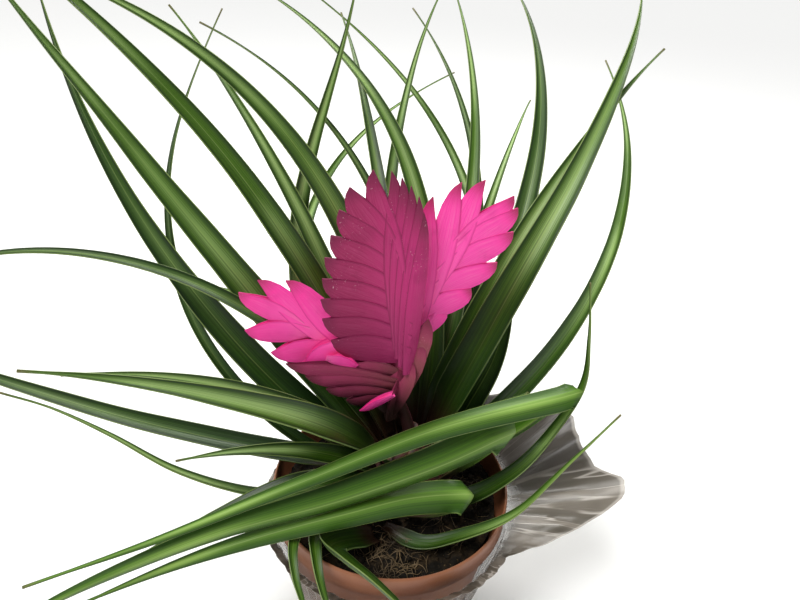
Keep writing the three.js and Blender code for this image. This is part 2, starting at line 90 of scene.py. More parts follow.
def layStudio():
    bpy.ops.mesh.primitive_plane_add(size=studio["floorSize"])
    floor = bpy.context.object
    floor.name = "floor"
    floor.data.materials.append(startPaint("paleFloor", studio["floorColour"], 0.9)[0])
    for name, (place, size, watts, colour) in studio["lights"].items():
        bpy.ops.object.light_add(type="AREA", location=place)
        lamp = bpy.context.object
        lamp.name = name
        lamp.data.size = size
        lamp.data.energy = watts
        lamp.data.color = colour
        aim = Vector(studio["aim"]) - Vector(place)
        lamp.rotation_euler = aim.to_track_quat("-Z", "Y").to_euler()
    place, strength, softness = studio["sun"]
    bpy.ops.object.light_add(type="SUN", location=place)
    sun = bpy.context.object
    sun.name = "softSun"
    sun.data.energy = strength
    sun.data.angle = math.radians(softness)
    sun.rotation_euler = (-Vector(place)).to_track_quat("-Z", "Y").to_euler()
    world = bpy.context.scene.world or bpy.data.worlds.new("studio")
    bpy.context.scene.world = world
    world.use_nodes = True
    sky = world.node_tree.nodes["Background"]
    sky.inputs["Color"].default_value = studio["worldColour"]
    sky.inputs["Strength"].default_value = studio["worldStrength"]
    bpy.context.scene.view_settings.view_transform = "Standard"


# shader maths

class Wire:
    # a node's output, so that shader maths reads as plain expressions
    def __init__(self, tree, socket=None):
        self.tree = tree
        self.socket = socket

    def add(self, kind, settings=None, inputs=None, output=0):
        node = self.tree.nodes.new(kind)
        for name, setting in (settings or {}).items():
            if name == "stops":
                fillRamp(node.color_ramp, setting)
            else:
                setattr(node, name, setting)
        for name, given in (inputs or {}).items():
            if isinstance(given, Wire):
                self.tree.links.new(given.socket, node.inputs[name])
            else:
                node.inputs[name].default_value = given
        return Wire(self.tree, node.outputs[output])

    def into(self, shader, name):
        self.tree.links.new(self.socket, shader.inputs[name])

    def maths(self, operation, first, second):
        return self.add("ShaderNodeMath", {"operation": operation}, {0: first, 1: second})

    def __add__(self, other):
        return self.maths("ADD", self, other)

    def __radd__(self, other):
        return self.maths("ADD", other, self)

    def __sub__(self, other):
        return self.maths("SUBTRACT", self, other)

    def __rsub__(self, other):
        return self.maths("SUBTRACT", other, self)

    def __mul__(self, other):
        return self.maths("MULTIPLY", self, other)

    def __rmul__(self, other):
        return self.maths("MULTIPLY", other, self)

    def __abs__(self):
        return self.maths("ABSOLUTE", self, 0.0)

    # from 0 at low to 1 at high, eased
    def fade(self, low, high):
        limits = {"Value": self, "From Min": low, "From Max": high}
        return self.add("ShaderNodeMapRange", {"interpolation_type": "SMOOTHSTEP"}, limits)


def fillRamp(ramp, stops):
    while len(ramp.elements) < len(stops):
        ramp.elements.new(1)
    for element, (place, colour) in zip(ramp.elements, stops):
        element.position = place
        element.color = (*colour, 1)


# Washes of a look's tones over a colour, one after another, each with how much of it shows.
def layWashes(shader, look, colour, washes):
    def full(given):
        return given if isinstance(given, Wire) else (*given, 1)
    for share, tone in washes:
        inputs = {0: share, 6: full(colour), 7: full(look[tone])}
        colour = share.add("ShaderNodeMix", {"data_type": "RGBA"}, inputs, 2)
    colour.into(shader, "Base Color")


def splitUp(vector):
    return [vector.add("ShaderNodeSeparateXYZ", {}, {0: vector}, axis) for axis in range(3)]


def stretched(vector, scale):
    return vector.add("ShaderNodeMapping", {}, {"Vector": vector, "Scale": scale})


def cloudy(vector, scale, detail=2.0, roughness=0.5):
    inputs = {"Vector": vector, "Scale": scale, "Detail": detail, "Roughness": roughness}
    return vector.add("ShaderNodeTexNoise", {}, inputs, "Fac")


# A new material, the place on the object that its paint reads, and its shader.
def startPaint(name, colour, roughness, specular=0.5):
    material = bpy.data.materials.new(name)
    material.use_nodes = True
    shader = material.node_tree.nodes["Principled BSDF"]
    shader.inputs["Base Color"].default_value = (*colour, 1)
    shader.inputs["Roughness"].default_value = roughness
    shader.inputs["Specular IOR Level"].default_value = specular
    place = Wire(material.node_tree).add("ShaderNodeTexCoord", output="Object")
    return material, place, shader


def surfaceMap(place):
    return place.add("ShaderNodeUVMap", {"uv_map": "UVMap"})


def roughen(shader, height, strength, distance):
    inputs = {"Strength": strength, "Distance": distance, "Height": height}
    height.add("ShaderNodeBump", {}, inputs).into(shader, "Normal")


# mesh helpers

def clearSelection():
    bpy.ops.object.select_all(action="DESELECT")


def pick(piece):
    clearSelection()
    piece.select_set(True)
    bpy.context.view_layer.objects.active = piece


def useModifier(piece, kind, settings):
    pick(piece)
    modifier = piece.modifiers.new(kind.lower(), kind)
    for name, setting in settings.items():
        setattr(modifier, name, setting)
    bpy.ops.object.modifier_apply(modifier=modifier.name)


def thicken(piece, thickness, offset=0):
    useModifier(piece, "SOLIDIFY", {"thickness": thickness * mm, "offset": offset})


# Runs steps in edit mode, and then turns all faces the same way, outwards.
def inEditMode(piece, steps):
    pick(piece)
    bpy.ops.object.mode_set(mode="EDIT")
    bpy.ops.mesh.select_all(action="SELECT")
    steps()
    bpy.ops.mesh.select_all(action="SELECT")
    bpy.ops.mesh.normals_make_consistent(inside=False)
    bpy.ops.object.mode_set(mode="OBJECT")


def selectOpenEdges():
    bpy.ops.mesh.select_mode(type="EDGE")
    bpy.ops.mesh.select_all(action="DESELECT")
    bpy.ops.mesh.select_non_manifold(extend=False)


def joinPieces(pieces, name):
    clearSelection()
    for piece in pieces:
        piece.select_set(True)
    bpy.context.view_layer.objects.active = pieces[0]
    if len(pieces) > 1:
        bpy.ops.object.join()
    whole = bpy.context.view_layer.objects.active
    whole.name = whole.data.name = name
    return whole


# Smooth shading, but for edges sharper than this many degrees.
def smooth(piece, angle):
    pick(piece)
    bpy.ops.object.shade_smooth_by_angle(angle=math.radians(angle))


# A grid with its points moved by shape(u, v), both from 0 to 1, which gives a place in metres.
def shapedGrid(name, columns, rows, shape):
    clearSelection()
    bpy.ops.mesh.primitive_grid_add(x_subdivisions=columns, y_subdivisions=rows, size=1)
    piece = bpy.context.object
    piece.name = piece.data.name = name
    for vertex in piece.data.vertices:
        vertex.co = shape(vertex.co.x + 0.5, vertex.co.y + 0.5)
    return piece


# A copy with its own mesh, moved by a matrix.
def copyMoved(piece, matrix):
    copy = piece.copy()
    copy.data = piece.data.copy()
    bpy.context.collection.objects.link(copy)
    copy.data.transform(matrix)
    return copy


def finishPiece(piece, slot, *nodes, angle=180):
    smooth(piece, angle)
    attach(piece, "root")
    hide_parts(*nodes)


def clamp(value, low, high):
    return min(high, max(low, value))


def eased(value):
    value = clamp(value, 0, 1)
    return value * value * (3 - 2 * value)


def levelAt(angle):
    return Vector((math.cos(angle), math.sin(angle), 0))


# The height at a share, from a row of (share, height) points with straight stretches between.
def profileAt(points, share):
    for (start, low), (end, high) in zip(points, points[1:]):
        if share <= end:
            return low + (high - low) * (share - start) / (end - start)
    return points[-1][1]


# leaf paint

leafLook = {
    "dark": (0.006, 0.022, 0.002),
    "middle": (0.088, 0.198, 0.012),
    "pale": (0.420, 0.600, 0.210),
    "line": (0.330, 0.460, 0.120),
    "sheath": (0.030, 0.010, 0.006),
    "tip": (0.120, 0.105, 0.035),
    "veins": 30,
    "bloom": 0.9,  # how much of the pale bloom shows down the middle: partly real scurf, partly a painted highlight
    "crownShade": 0.75,  # how much painted shade darkens the blade towards the crown
    # how much painted highlight lies along the keel
    "ridgeHighlight": 0.0,
    "roughness": 0.3,
}
# the same leaf in a darker tint, creased over, and from underneath
darkTintedLook = dict(leafLook, middle=(0.040, 0.104, 0.008), dark=(0.004, 0.014, 0.002), bloom=0.3)
foldedLook = dict(
    leafLook, middle=(0.062, 0.160, 0.005), dark=(0.014, 0.050, 0.002), pale=(0.360, 0.560, 0.120),
    ridgeHighlight=0.6, roughness=0.45, crownShade=0)
underLook = dict(
    leafLook, middle=(0.040, 0.100, 0.014), dark=(0.012, 0.036, 0.006), bloom=0.2, roughness=0.45)


def leafPaint(name, look):
    material, place, shader = startPaint(name, look["middle"], look["roughness"], 0.28)
    surface = surfaceMap(place)
    across, along, _ = splitUp(surface)
    offCentre = abs(across - 0.5) * 2
    streaks = cloudy(stretched(surface, (look["veins"], 1.6, 1)), 1, 3, 0.6)
    patches = cloudy(place, 22, 2)
    stretches = cloudy(place, 10, 1)
    # the pale bloom down the blade's middle: partly real scurf, partly a painted highlight
    bloomAndHighlight = (1 - offCentre.fade(0.05, 0.75)) * stretches.fade(0.36, 0.56)
    bloomAndHighlight *= along.fade(0.24, 0.5) * (1 - along.fade(0.8, 0.97))
    fineLines = 0.35 + streaks.fade(0.3, 0.7) * 0.65
    # a painted highlight along the keel of creased-over leaves
    ridgeHighlight = (1 - offCentre.fade(0.0, 0.5)) * (0.3 + stretches.fade(0.38, 0.6) * 0.7)
    midrib = 1 - offCentre.fade(0.015, 0.05)
    sheath = 1 - (along + streaks * 0.05).fade(0.05, 0.14)
    layWashes(shader, look, look["dark"], [
        (0.25 + streaks.fade(0.3, 0.7) * 0.75, "middle"),
        (patches.fade(0.5, 0.75) * 0.35, "dark"),
        # painted shade: the blade darker towards both margins
        (offCentre.fade(0.3, 1.0) * 0.9, "dark"),
        # pale bloom: partly real scurf, partly a painted highlight
        (bloomAndHighlight * look["bloom"] * fineLines, "pale"),
        # painted highlight along the keel
        (ridgeHighlight * look["ridgeHighlight"], "pale"),
        (midrib * 0.35, "line"),
        (offCentre.fade(0.93, 0.99) * 0.5, "line"),
        # painted shade: darker towards the blade's foot, deep in the crown
        ((1 - along.fade(0.08, 0.5)) * look["crownShade"], "dark"),
        (sheath * 0.92, "sheath"),
        ((along + patches * 0.05).fade(0.985, 1.03), "tip"),
    ])
    (look["roughness"] + streaks * 0.18).into(shader, "Roughness")
    shader.inputs["Coat Weight"].default_value = 0.06
    shader.inputs["Coat Roughness"].default_value = 0.25
    roughen(shader, streaks, 0.4, 0.0004)
    return material


# leaves

crown = {
    "x": 9, "y": 14,  # mm, as all places and sizes here
    "slopeHeight": 128,  # where the slope on which the leaves stand would come to a point
    "innerRadius": 7,
    "outerRadius": 27,
    "steepRise": 80,  # leaves that rise this steeply, in degrees, stand innermost
    "spread": 0.42,  # how much further out a leaf stands for each degree less
}
blade = {
    "columns": 20,
    "rows": 96,
    "channel": 0.21,  # depth of the V as a share of the width
    "keelRounding": 0.55,
    "fullness": 1.3,
    "taper": 1.2,
    "tipWidth": 0.7,
    "bend": 1.25,
    "rollEnd": 0.4,
    "clasp": 0.5,  # width at the very base, as a share
    "claspEnd": 0.1,
    "thickness": 0.55,
    "pleats": 5,
    "pleatDepth": 0.07,
    "waver": 0.7,  # how far the blade strays sideways, in mm
    "wavers": 4,  # how often it does along the leaf
    "waverUp": 0.6,  # how far it strays up, as a share of that
    "edgeWaver": 0.05,  # the same for its margins, as a share of the width
    "edgeWavers": 9,
    "creaseFlat": 9,  # mm either side of a crease over which the channel opens flat
    "creasePoint": 7,  # mm that the keel stands out beyond the margins there
    "creaseKeel": 0.4,  # the share of it by which the keel moves out; the margins draw in
    "creaseChannel": 1.5,  # how much deeper a creased leaf's channel is
    "darkTinted": (2, 5, 6, 8, 11, 14, 18, 23, 26, 29),  # the numbers of the leaves in the darker tint
}
# azimuth, sweep, rise and rise at the tip in degrees, length and width in mm, roll in degrees
leafRows = [
    (172, -20, 53, 40, 300, 22, -45),
    (180, -56, 41, 55, 295, 19, -45),
    (163, 26, 68, 33, 320, 18, -45),
    (139, 55, 80, 11, 300, 17, -60),
    (197, -153, 35, 56, 290, 8, -15),
    (174, 16, 61, -34, 280, 10, -30),
    (144, -7, 65, 26, 260, 14, -45),
    (90, 98, 69, 25, 250, 8, -30),
    (173, -179, 47, 81, 260, 17, 40),
    (73, 103, 63, 23, 290, 16, -30),
    (108, -1, 66, 16, 265, 13, 0),
    (53, 128, 42, 33, 325, 10, -45),
    (112, -49, 54, 42, 275, 12, 10),
    (60, 72, 46, 32, 290, 11.5, -30),
    (66, 44, 58, 30, 285, 13, 0),
    (144, -126, 30, 24, 320, 11, 30),
    (70, 5, 55, -2, 265, 10, 0),
    (41, 72, 60, 23, 300, 18, 0),
    (47, -6, 67, 30, 242, 17, 28),
    (22, 59, 70, 19, 290, 21, 25),
    (24, 84, 35, 30, 305, 16, -20),
    (236, -45, 58, 9, 195, 20, -45),
    (184, -14, 10, 20, 290, 14, -30),
    (212, 4, 56, 17, 175, 13, -45),
    (218, -33, 49, -20, 110, 13, -45),
    (78, -10, 40, -25, 150, 13, 0),
    (112, 10, 38, -20, 160, 13, 0),
    (140, 5, 40, -25, 170, 13, 0),
    (28, 60, 53, 40, 105, 24, 0),
    (-6, 11, 62, 30, 60, 14, 10),
    (22, -8, 49, 20, 55, 12, 0),
]
# leaves that hang, curl or are creased: width, the point where it folds over, points in mm
ledLeaves = {
    "leaf_folded_1": (15, 4, [
        (34, 16, 103), (49, 12, 119), (64, 8, 137), (80, 0, 166), (83, -3, 172), (77, -6, 172),
        (19, -24, 163), (-38, -50, 152), (-96, -70, 133), (-148, -81, 113)]),
    "leaf_folded_2": (23, 3, [
        (27, 5, 102), (42, -2, 124), (55, -7, 147), (53, -11, 151), (25, -24, 143),
        (-17, -44, 139), (-73, -64, 131), (-132, -79, 107), (-178, -89, 78)]),
    "leaf_folded_3": (18, 3, [
        (10, -18, 101), (24, -20, 106), (38, -19, 114), (37, -21, 119), (10, -32, 127),
        (-18, -45, 129), (-72, -62, 121), (-132, -76, 95)]),
    "leaf_low_left": (24, None, [
        (6, -13, 104), (-8, -18, 111), (-25, -22, 118), (-46, -27, 120), (-80, -36, 107),
        (-118, -45, 86), (-146, -49, 71)]),
    "leaf_low_thin": (8, None, [
        (-16, -2, 101), (-34, -13, 105), (-50, -19, 109), (-72, -20, 111), (-103, -20, 122),
        (-131, -20, 142), (-153, -24, 160), (-168, -32, 174)]),
    "leaf_curled_1": (13, None, [
        (20, -8, 100), (39, -9, 104), (62, -6, 123), (80, 6, 141), (91, 16, 160),
        (88, 15, 190), (81, 12, 222)]),
    "leaf_curled_2": (10, None, [
        (-2, -26, 100), (15, -36, 101), (32, -37, 108), (57, -39, 130), (77, -37, 164),
        (92, -34, 187)]),
    "leaf_hanging_1": (8, None, [
        (-24, -16, 100), (-37, -30, 112), (-41, -54, 119), (-38, -68, 114), (-34, -75, 108),
        (-24, -86, 86)]),
    "leaf_hanging_2": (9, None, [
        (-16, -22, 100), (-29, -34, 108), (-33, -44, 113), (-31, -56, 111), (-27, -66, 104),
        (-16, -76, 80)]),
    "leaf_hanging_3": (18, None, [
        (-6, -33, 100.5), (-21, -43, 108), (-25, -52, 114), (-17, -61, 117), (-5, -70, 117),
        (20, -84, 104), (32, -86, 88)]),
}


def bladeWidth(width, share):
    clasp = blade["clasp"] + (1 - blade["clasp"]) * min(1, share / blade["claspEnd"])
    return max(blade["tipWidth"], width * (1 - share ** blade["fullness"]) ** blade["taper"] * clasp)


# A station of a leaf is its middle, the directions across and out of its upper face, its width
# and channel depth, and how far its keel is pushed along.
def freeStations(row):
    azimuth, sweep, rise, tipRise, length, width, roll = row
    wanted = crown["innerRadius"] + (crown["steepRise"] - rise) * crown["spread"]
    radius = clamp(wanted, crown["innerRadius"], crown["outerRadius"])
    angle = math.radians(azimuth)
    middle = Vector((crown["x"], crown["y"], crown["slopeHeight"] - radius))
    middle += radius * levelAt(angle)

    def heading(share):
        slope = math.radians(rise + (tipRise - rise) * share ** blade["bend"])
        turn = math.radians(azimuth + sweep * share)
        level = Vector((-math.sin(turn), math.cos(turn), 0))
        run = math.cos(slope) * levelAt(turn) + math.sin(slope) * up
        return run, level

    stations = []
    rows = blade["rows"]
    for i in range(rows + 1):
        share = i / rows
        run, level = heading(share)
        tilt = math.radians(roll) * min(1, share / blade["rollEnd"])
        across = Matrix.Rotation(tilt, 3, run) @ level
        wide = bladeWidth(width, share)
        depth = blade["channel"] * wide
        stations.append((middle.copy(), across, run.cross(across), wide, depth, Vector()))
        middle += heading(share + 0.5 / rows)[0] * length / rows
    return stations


# A smooth line through the points, with stretches in step with their length (centripetal).
def smoothLine(points, finePerStretch=40):
    points = [Vector(point) for point in points]
    ends = [2 * points[0] - points[1], *points, 2 * points[-1] - points[-2]]
    line = []
    for before, start, end, after in zip(ends, ends[1:], ends[2:], ends[3:]):
        first = (start - before).length ** 0.5
        second = (end - start).length ** 0.5
        third = (after - end).length ** 0.5
        leave = (start - before) / first - (end - before) / (first + second) + (end - start) / second
        reach = (end - start) / second - (after - start) / (second + third) + (after - end) / third
        leave *= second
        reach *= second
        for i in range(finePerStretch):
            t = i / finePerStretch
            bulge = (2 * start - 2 * end + leave + reach) * t ** 3
            bulge += (3 * end - 3 * start - 2 * leave - reach) * t ** 2
            line.append(start + leave * t + bulge)
    line.append(points[-1].copy())
    return line


# Points at even steps along a line, each with its direction, then the line's length and how far
# along it each of its own points is.
def evenSteps(line, steps):
    reached = [0.0]
    for start, end in zip(line, line[1:]):
        reached.append(reached[-1] + (end - start).length)
    length = reached[-1]
    result = []
    at = 0
    for i in range(steps + 1):
        goal = length * i / steps
        while at < len(line) - 2 and reached[at + 1] < goal:
            at += 1
        part = (goal - reached[at]) / (reached[at + 1] - reached[at])
        result.append((line[at].lerp(line[at + 1], part), (line[at + 1] - line[at]).normalized()))
    return result, length, reached


def ledStations(width, fold, points):
    fine = 40
    line = smoothLine(points, fine)
    steps, length, reached = evenSteps(line, blade["rows"])
    crease = reached[fold * fine] if fold else None
    deeper = blade["creaseChannel"] if fold else 1
    reach = Vector()  # the way that the crease points
    if fold:
        reach = (2 * line[fold * fine] - line[(fold - 1) * fine] - line[(fold + 2) * fine]).normalized()
    stations = []
    across = None
    for i, (middle, run) in enumerate(steps):
        share = i / blade["rows"]
        guide = up.cross(run) if across is None else across
        across = (guide - guide.dot(run) * run).normalized()
        opened = 1 if crease is None else clamp(abs(share * length - crease) / blade["creaseFlat"], 0, 1)
        wide = bladeWidth(width, share)
        depth = blade["channel"] * wide * opened * deeper
        push = reach * blade["creasePoint"] * (1 - opened)
        stations.append((middle, across, run.cross(across), wide, depth, push))
    return stations


def layLeaf(name, stations, seed, upperPaint, underPaint, slot):
    rounding = blade["keelRounding"]
    rows = blade["rows"]
    fullest = max(station[3] for station in stations)

    def shape(u, v):
        middle, across, out, wide, channel, push = stations[round(v * rows)]
        side = 1 - 2 * u  # +1 at u 0, so that the grid's faces point out of the upper side
        hollow = (math.hypot(side, rounding) - rounding) / (math.hypot(1, rounding) - rounding)
        pleat = math.cos(blade["pleats"] * math.pi * side) * blade["pleatDepth"] * wide / fullest
        drift = noise.noise(Vector((v * blade["wavers"], seed * 3.7, 0))) * blade["waver"] * eased(v * 5)
        strays = noise.noise(Vector((v * blade["edgeWavers"], seed * 1.3, side)))
        edge = 1 + blade["edgeWaver"] * strays
        place = middle + across * (side * wide / 2 * edge + drift)
        rise = channel * hollow + pleat + drift * blade["waverUp"]
        place += out * rise + push * (blade["creaseKeel"] - abs(side))
        return place * mm

    piece = shapedGrid(name + "_blade", blade["columns"], rows, shape)
    piece.data.materials.append(upperPaint)
    piece.data.materials.append(underPaint)
    useModifier(piece, "SOLIDIFY", {
        "thickness": blade["thickness"] * mm, "offset": -1, "material_offset": 1,
        "material_offset_rim": 0, "use_even_offset": False})
    finishPiece(piece, slot, name)


def growLeaves():
    upper = leafPaint("leafUpper", leafLook)
    darkTinted = leafPaint("leafDarkTinted", darkTintedLook)
    under = leafPaint("leafUnder", underLook)
    foldedUpper = leafPaint("foldedUpper", foldedLook)
    for i, row in enumerate(leafRows):
        paint = darkTinted if i + 1 in blade["darkTinted"] else upper
        layLeaf(f"leaf_{i + 1:02d}", freeStations(row), i, paint, under, "leaf")
    for i, (name, (width, fold, points)) in enumerate(ledLeaves.items()):
        paint = foldedUpper if fold else upper
        slot = "leaf_folded" if fold else "leaf"
        layLeaf(name, ledStations(width, fold, points), 40 + i, paint, paint, slot)
    print("leaves grown:", len(leafRows) + len(ledLeaves))


# flower head

# Each spike lies in a plane of constant y. base and top are (x, z) of its middle line, in mm.
# A bract's row is where its tip and its root are: each a share of the spike's height and how far
# it stands to the right of the middle line, in mm, then its width. The lowest roots lie outermost.
spikes = {
    "spike_main": {
        "y": 5.5, "base": (2, 174), "top": (-12, 259), "bow": 2, "depth": 4.6,
        "bracts": [
            # left side, from below
            (0.20, -33, 0.08, 3, 17), (0.34, -35.6, 0.16, 3, 17), (0.46, -34.8, 0.24, 3, 17),
            (0.58, -32.4, 0.33, 2, 17), (0.70, -29.3, 0.42, 2, 16), (0.82, -24.4, 0.51, 1, 16),
            (0.95, -18.4, 0.58, 1, 15), (1.06, -12, 0.64, 0, 14),
            # the end
            (1.135, -1.2, 0.5, 0, 12),
            # right side, from the top
            (1.12, 5.8, 0.22, -1, 11), (1.085, 9.4, 0.13, -1.5, 10), (1.04, 12.4, 0.07, -1, 9),
            (0.985, 14.8, 0.02, 0, 8.5), (0.90, 15.6, -0.04, 2, 8),
        ],
    },
    "spike_right": {
        "y": 15, "base": (11, 190), "top": (35, 256), "bow": -5, "depth": 4,
        "bracts": [
            (0.88, -22.7, 0.02, -4, 11), (1.03, -17, 0.2, -3, 12), (1.10, -9.6, 0.36, -2, 12),
            (1.08, 4.6, 0.58, -1, 11),
            (1.02, 9.6, 0.54, 0, 12), (0.87, 15.4, 0.42, -1, 12.5), (0.64, 18.6, 0.26, -2, 12.5),
            (0.40, 14.4, 0.1, -2, 13), (0.2, 6, -0.06, -2, 10),
        ],
    },
    "spike_left": {
        "y": 12, "base": (-18, 172), "top": (-71, 206), "bow": -2, "depth": 4,
        # root, tip, width and depth of the bracts round its foot, in mm
        "foot": [((-25, 8, 183), (-46, 7, 168.5), 13, 5), ((-34, 4.5, 177), (-19, 4.5, 173.5), 7.5, 4)],
        "bracts": [
            (0.84, -19.2, 0.44, 0, 13), (0.58, -22, 0.2, 0, 14), (0.34, -17.5, -0.02, 0, 14),
            (1.04, -3.8, 0.52, 0, 11.5),
            (0.98, 7.4, 0.3, 2, 12.5), (0.82, 15.9, 0.06, 4, 13.5), (0.5, 17, -0.1, 5, 13),
        ],
    },
}
bract = {
    "columns": 18,
    "rows": 20,
    # half widths along the length: on the keel's side and on the free margins' side
    "keelSide": [
        (0, 0.5), (0.2, 0.82), (0.45, 0.97), (0.65, 1), (0.8, 0.88), (0.9, 0.64), (0.96, 0.36), (1, 0.02)],
    "marginSide": [(0, 0.6), (0.2, 0.9), (0.42, 1), (0.6, 0.88), (0.78, 0.54), (0.9, 0.24), (1, 0.02)],
    "thickness": 0.28,
    "tipThinning": 0.93,  # how much thinner a folded bract is at its tip
    "thinningBend": 1.8,
    "openThinning": 0.8,
    "keelBulge": 2.4,
    "lowDepth": 1.2,  # depth of the lowest bracts, as a share of the row's
    "depthLoss": 0.85,  # how much of it is lost up the spike
    "rachisRadii": (2, 1),
}


# A bract folded along its keel: x is from the keel at -0.5 to the free margins at 0.5, y is
# the half of it in front or behind, and z runs from the root to the tip.
def foldedBract():
    def shape(u, v):
        half = 2 * u - 1
        towardsMargin = abs(half)
        keel = -0.5 * profileAt(bract["keelSide"], v)
        margin = 0.5 * profileAt(bract["marginSide"], v)
        fat = 1 - (1 - towardsMargin) ** bract["keelBulge"]
        fat *= 1 - bract["tipThinning"] * v ** bract["thinningBend"]
        place = keel + (margin - keel) * towardsMargin
        return Vector((place, -math.copysign(0.5, half) * fat, v))
    return shapedGrid("foldedBract", bract["columns"], bract["rows"], shape)


# An open boat-shaped bract: its keel is in the middle and stands out along y.
def openBract():
    def shape(u, v):
        side = 2 * u - 1
        wide = profileAt(bract["keelSide"], v)
        fat = (1 - side * side) * (1 - bract["openThinning"] * v * v)
        return Vector((side * 0.5 * wide, fat - 0.5, v))
    return shapedGrid("openBract", bract["columns"], bract["rows"], shape)


# A copy of the blank, stretched from root to tip.
def placeBract(blank, root, tip, across, facing, width, depth):
    along = tip - root
    matrix = Matrix((across * width * mm, facing * depth * mm, along * mm)).transposed().to_4x4()
    matrix.translation = root * mm
    return copyMoved(blank, matrix)


# A round rod along the points, from its low radius to its high one, in mm.
def layRod(name, points, low, high, sides=16, rows=24, fine=40, guide=Vector((0, 1, 0))):
    steps, _, _ = evenSteps(smoothLine(points, fine), rows)

    def shape(u, v):
        middle, run = steps[round(v * rows)]
        sideways = guide.cross(run).normalized()
        angle = 2 * math.pi * u
        radius = low + (high - low) * v
        out = math.cos(angle) * sideways + math.sin(angle) * sideways.cross(run)
        return (middle + out * radius) * mm
    piece = shapedGrid(name, sides, rows, shape)
    closeTube(piece)
    return piece


# Welds a grid's first and last columns, and fills its ends.
def closeTube(piece):
    def steps():
        bpy.ops.mesh.remove_doubles(threshold=0.00002)
        selectOpenEdges()
        bpy.ops.mesh.fill_holes(sides=0)
    inEditMode(piece, steps)


def layBracts(blank, row):
    facing = Vector((0, 1, 0))
    base = Vector((row["base"][0], row["y"], row["base"][1]))
    top = Vector((row["top"][0], row["y"], row["top"][1]))
    run = top - base
    side = facing.cross(run).normalized()

    def placeAt(share, aside):
        return base + run * share + side * (aside + row["bow"] * math.sin(share * math.pi))

    pieces = []
    for tipShare, tipAside, rootShare, rootAside, width in row["bracts"]:
        root = placeAt(rootShare, rootAside)
        tip = placeAt(tipShare, tipAside)
        depth = row["depth"] * (bract["lowDepth"] - bract["depthLoss"] * rootShare)
        pieces.append(layBract(blank, run, root, tip, width, depth))
    return pieces + [layBract(blank, run, *foot) for foot in row.get("foot", [])]


# A folded bract from root to tip in a plane that holds up: its keel is turned away from up.
def layBract(blank, upwards, root, tip, width, depth):
    root, tip = Vector(root), Vector(tip)
    along = (tip - root).normalized()
    across = (upwards - upwards.dot(along) * along).normalized()
    return placeBract(blank, root, tip, across, across.cross(along), width, depth)


stalk = {
    "points": [(9, 14, 122), (5, 13, 136), (0, 10, 154), (2, 6.5, 171)],
    "radius": 3.4,
    "topRadius": 2.4,
    "branches": [
        [(3, 11, 154), (8, 14, 172), (10.6, 15, 188.5)],
        [(3, 11, 150), (-7, 12, 162), (-16.6, 12, 171)],
    ],
    "branchRadius": 1.8,
    "upwards": (0.15, 0, 1),  # the way that the bracts' open margins face
    # root, tip, width and depth of each bract round the stalk, from the uppermost
    "bracts": [
        ((-1, 8, 163), (-53, 3, 172.5), 11, 5),
        ((-1, 8, 160), (-44, 4, 165), 11, 5.6),
        ((-2, 8, 156), (-34, 3, 159), 10, 6.4),
        ((-2, 9, 152), (-24, 2, 154), 9, 7.2),
        ((-1, 9, 168), (-26, 5, 172), 12, 4.6),
        ((-3, 9, 151), (11.5, 6, 201), 14, 5),
        ((-4, 9, 147), (9, 6, 190), 15, 6),
        ((-4, 9, 143), (5, 6, 179), 15, 7),
        ((-3, 10, 138), (0, 6, 166), 13, 7.5),
    ],
    # a small bright one below them
    "bright": ((-1.5, 1, 160), (-17.5, 0, 149.5), 4.5, 3),
}


def layStalk(blank, stalkPaint, brightPaint):
    pieces = [layRod("stalkRod", stalk["points"], stalk["radius"], stalk["topRadius"])]
    for points in stalk["branches"]:
        pieces.append(layRod("branchRod", points, stalk["branchRadius"], stalk["branchRadius"]))
    upwards = Vector(stalk["upwards"])
    scales = [layBract(blank, upwards, *row) for row in stalk["bracts"]]
    scales = joinPieces(scales, "stalkScales")
    bright = layBract(blank, upwards, *stalk["bright"])
    for piece in (scales, bright):
        thicken(piece, bract["thickness"])
    for piece in (*pieces, scales):
        piece.data.materials.append(stalkPaint)
    bright.data.materials.append(brightPaint)
    return joinPieces([*pieces, scales, bright], "flowerStalk")


# rightward and upward are the places, in metres, between which right sets in and low ends. right is a tone
# over the right side, on the main spike painted light and on the stalk its olive tone; low is painted
# shade low down
brightLook = {
    "root": (1.000, 0.250, 0.520),
    "middle": (1.000, 0.105, 0.470),
    "upper": (0.980, 0.040, 0.360),
    "tip": (0.420, 0.018, 0.100),
    "margin": (0.620, 0.020, 0.200),
    "right": (1.000, 0.070, 0.420), "rightward": (-0.024, 0.004),
    "low": (0.980, 0.050, 0.360), "upward": (0.182, 0.222), "lowShadeLeft": 0.7, "lowShadeShare": 0.6,
    "flecks": 0.1, "fleck": (0.85, 0.50, 0.60),
}
# the main spike's bracts: the bright pink painted darker, as painted shade
shadedPinkLook = dict(
    brightLook,
    root=(0.480, 0.070, 0.190), middle=(0.370, 0.022, 0.110), upper=(0.300, 0.014, 0.085),
    tip=(0.160, 0.008, 0.048), margin=(0.170, 0.007, 0.052), right=(0.540, 0.020, 0.180),
    low=(0.190, 0.012, 0.060), flecks=0.5)
stalkLook = dict(
    brightLook,
    root=(0.230, 0.060, 0.075), middle=(0.320, 0.045, 0.100), upper=(0.380, 0.035, 0.120),
    tip=(0.150, 0.014, 0.040), margin=(0.110, 0.010, 0.030),
    right=(0.250, 0.070, 0.075), rightward=(-0.002, 0.008),
    low=(0.010, 0.007, 0.003), upward=(0.146, 0.168), lowShadeLeft=0.1, lowShadeShare=0.93, flecks=0.2)


